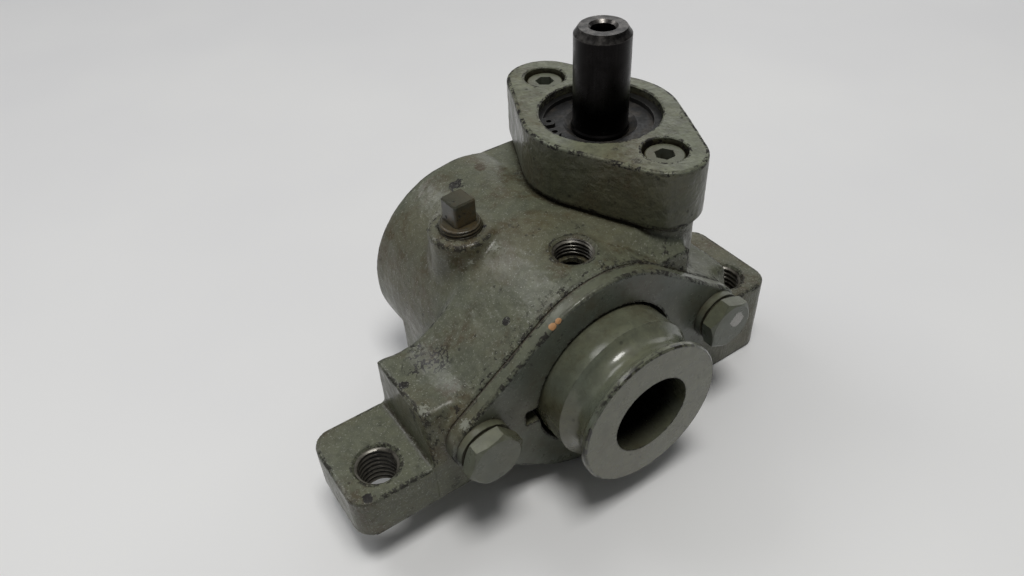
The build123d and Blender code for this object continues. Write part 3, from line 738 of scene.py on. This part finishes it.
foot_fillers = [hole_filler(bottom, FOOT_TOP, (x, y)) for x, y, bottom in FOOT_HOLES]
port_filler = hole_filler(29.5, PORT_TOP, PORT)
plug_filler = hole_filler(28.0, BOSS_TOP, PLUG, 8.0)
foot_cuts = [
    turned([
        (0, bottom - 1), (THREAD_RADIUS + 0.5, bottom - 1), (THREAD_RADIUS, bottom + 0.5),
        (THREAD_RADIUS, FOOT_TOP - 0.75), (THREAD_RADIUS + 0.75, FOOT_TOP + 0.02),
        (THREAD_RADIUS + 0.75, FOOT_TOP + 3), (0, FOOT_TOP + 3),
    ], at=(x, y))
    for x, y, bottom in FOOT_HOLES
]
port_cut = turned([
    (0, 24), (4.8, 24), (4.8, 30.4), (PORT_RADIUS, 30.4), (PORT_RADIUS, PORT_TOP - 0.9),
    (PORT_RADIUS + 0.8, PORT_TOP - 0.1), (PORT_RADIUS + 0.8, PORT_TOP + 4), (0, PORT_TOP + 4),
], at=PORT)
plug_cut = turned([
    (0, 26), (PLUG_RADIUS + 0.05, 26), (PLUG_RADIUS + 0.05, BOSS_TOP - 0.8),
    (PLUG_RADIUS + 0.9, BOSS_TOP), (PLUG_RADIUS + 0.9, BOSS_TOP + 3), (0, BOSS_TOP + 3),
], at=PLUG)
casting("housing", "housing_casting", HOUSING_GRID, HOUSING_ROUNDS, housing_weight, housing_relief,
        [*foot_fillers, port_filler, plug_filler], [*foot_cuts, port_cut, plug_cut],
        melt=housing_melt)

screw_places = [(WORM_X, WORM_Y + side * SCREW_OFFSET) for side in (-1, 1)]
counterbore_fillers = [hole_filler(46, FLANGE_TOP, place, 8.4) for place in screw_places]
counterbore_cuts = [
    turned([
        (0, 36), (4.5, 36), (4.5, 49.6), (HEAD_RADIUS, 49.6), (HEAD_RADIUS, FLANGE_TOP - 0.3),
        (HEAD_RADIUS + 0.3, FLANGE_TOP), (HEAD_RADIUS + 0.3, FLANGE_TOP + 2), (0, FLANGE_TOP + 2),
    ], at=place)
    for place in screw_places
]
rim_filler = turned([(20.0, 52.0), (23.2, 52.0), (23.2, FLANGE_TOP), (20.0, FLANGE_TOP)],
                    at=(WORM_X, WORM_Y))
rim_cut = turned([
    (0, FLANGE_BOTTOM - 1), (SEAT_RADIUS, FLANGE_BOTTOM - 1), (SEAT_RADIUS, 54.5), (22.2, 54.5),
    (22.2, 56.3), (SEAT_RADIUS, 56.3), (SEAT_RADIUS, FLANGE_TOP - 0.3), (21.4, FLANGE_TOP),
    (21.4, FLANGE_TOP + 2), (0, FLANGE_TOP + 2),
], at=(WORM_X, WORM_Y), segments=128)
casting("input_flange", "flange_casting", FLANGE_GRID, FLANGE_ROUNDS, flange_weight, flange_relief,
        [*counterbore_fillers, rim_filler], [*counterbore_cuts, rim_cut], finish="flange_paint")

casting("front_cover", "cover_plate", COVER_GRID, COVER_ROUNDS, cover_weight, cover_relief)


# ---------------------------------------------------------------- threads

def thread(name, at, low, high, wall, depth, pitch, finish, outward=False, segments=72):
    """Ring of helical thread ridges on a hole's wall, or round a screw's body."""
    made = bmesh.new()
    steps = int((high - low) / pitch * 10)
    side = 1 if outward else -1
    rows = []
    for row in range(steps + 1):
        z = low + (high - low) * row / steps
        ring = []
        for i in range(segments):
            angle = 2 * math.pi * i / segments
            phase = (z / pitch - angle / (2 * math.pi)) % 1.0
            ridge = min(1.0, max(0.0, 1.55 * (1 - abs(2 * phase - 1)) - 0.22))
            ridge *= min(1.0, (z - low) / 0.3 + 0.05) * min(1.0, (high - z) / 0.3 + 0.05)
            radius = wall + side * depth * ridge
            ring.append(made.verts.new(((at[0] + radius * math.cos(angle)) * MM,
                                        (at[1] + radius * math.sin(angle)) * MM, z * MM)))
        rows.append(ring)
    base = wall - side * 0.3
    for z in (high, low):
        rows.append([
            made.verts.new(((at[0] + base * math.cos(2 * math.pi * i / segments)) * MM,
                            (at[1] + base * math.sin(2 * math.pi * i / segments)) * MM, z * MM))
            for i in range(segments)
        ])
    for low_ring, high_ring in zip(rows, rows[1:] + rows[:1]):
        for i in range(segments):
            j = (i + 1) % segments
            made.faces.new((low_ring[i], low_ring[j], high_ring[j], high_ring[i]))
    bmesh.ops.recalc_face_normals(made, faces=made.faces)
    mesh = bpy.data.meshes.new(name)
    made.to_mesh(mesh)
    made.free()
    mesh.shade_smooth()
    mesh.set_sharp_from_angle(angle=THREAD_EDGE)
    piece = bpy.data.objects.new(name, mesh)
    bpy.context.scene.collection.objects.link(piece)
    mesh.materials.append(finishes[finish])
    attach(piece, "casing")


for (x, y, bottom), name in zip(FOOT_HOLES, ("left_foot_thread", "right_foot_thread")):
    thread(name, (x, y), bottom + 0.6, FOOT_TOP - 0.8, THREAD_RADIUS, 0.95, 2.0,
           "thread_steel")
thread("port_thread", PORT, 30.6, PORT_TOP - 0.95, PORT_RADIUS, 0.8, PIPE_PITCH,
       "thread_steel")
thread("plug_thread", PLUG, BOSS_TOP - 1.2, 40.6, PLUG_RADIUS - 0.1, 0.55, PIPE_PITCH,
       "plug_steel", outward=True)


# ---------------------------------------------------------------- floor, light, camera

floor_mesh = bpy.data.meshes.new("floor")
floor_corners = [(-1, -1), (1, -1), (1, 1), (-1, 1)]
floor_mesh.from_pydata([(x * FLOOR_HALF, y * FLOOR_HALF, 0) for x, y in floor_corners], [],
                       [(0, 1, 2, 3)])
floor = bpy.data.objects.new("floor", floor_mesh)
floor.location = (0, 0, cad_box[0].z)
bpy.context.scene.collection.objects.link(floor)
board = Graph("floor_board", Roughness=0.55)
board.set("Base Color", board.mix(board.ramp(board.noise(220, 3), 0.3, 0.7), (0.79, 0.79, 0.80),
                                  (0.83, 0.83, 0.83)))
board.set("Normal", board.bump(board.noise(3, 3), 0.05, 0.15))
floor_mesh.materials.append(board.material)

world = bpy.data.worlds.new("studio")
bpy.context.scene.world = world
world.use_nodes = True
sky = world.node_tree
background = sky.nodes["Background"]
background.inputs["Color"].default_value = (0.97, 0.985, 1.0, 1.0)

# a bright ceiling, pale behind the object and dim in front of it
direction = sky.nodes.new("ShaderNodeTexCoord")
facing = sky.nodes.new("ShaderNodeVectorMath")
facing.operation = "DOT_PRODUCT"
facing.inputs[1].default_value = SKY_UP
sky.links.new(direction.outputs["Generated"], facing.inputs[0])
ceiling = sky.nodes.new("ShaderNodeMapRange")
ceiling.interpolation_type = "SMOOTHSTEP"
ceiling.inputs["From Min"].default_value = -0.15
ceiling.inputs["From Max"].default_value = 0.95
ceiling.inputs["To Min"].default_value = SKY_DIM
ceiling.inputs["To Max"].default_value = SKY_BRIGHT
sky.links.new(facing.outputs["Value"], ceiling.inputs["Value"])
sky.links.new(ceiling.outputs["Result"], background.inputs["Strength"])


def softbox(name, place, target, size, power, colour=(1, 1, 1)):
    """Rectangular lamp at a place, aimed at a target; watts."""
    lamp = bpy.data.lights.new(name, "AREA")
    lamp.shape = "RECTANGLE"
    lamp.size, lamp.size_y = size
    lamp.energy = power
    lamp.color = colour
    holder = bpy.data.objects.new(name, lamp)
    holder.location = place
    aim = Vector(target) - Vector(place)
    holder.rotation_mode = "QUATERNION"
    holder.rotation_quaternion = aim.to_track_quat("-Z", "Y")
    bpy.context.scene.collection.objects.link(holder)


softbox("lamp", (-0.06, -0.16, 1.15), (0.0, 0.03, 0.0), (0.36, 0.36), 7.2, (1.0, 0.99, 0.96))
softbox("window", (-0.35, 0.85, 1.0), (0.0, 0.03, 0.0), (0.55, 0.55), 3.0)
softbox("wall_right", (1.0, 0.7, 0.45), (0.0, 0.05, 0.0), (1.0, 0.8), 1.8)

camera_data = bpy.data.cameras.new("camera")
camera_data.lens = CAMERA_LENS
camera_data.sensor_width = CAMERA_SENSOR
camera_data.clip_start = 0.01
camera = bpy.data.objects.new("camera", camera_data)
camera.location = CAMERA_PLACE
camera.rotation_euler = [math.radians(a) for a in CAMERA_TURN]
bpy.context.scene.collection.objects.link(camera)
bpy.context.scene.camera = camera
bpy.context.scene.view_settings.view_transform = "Standard"
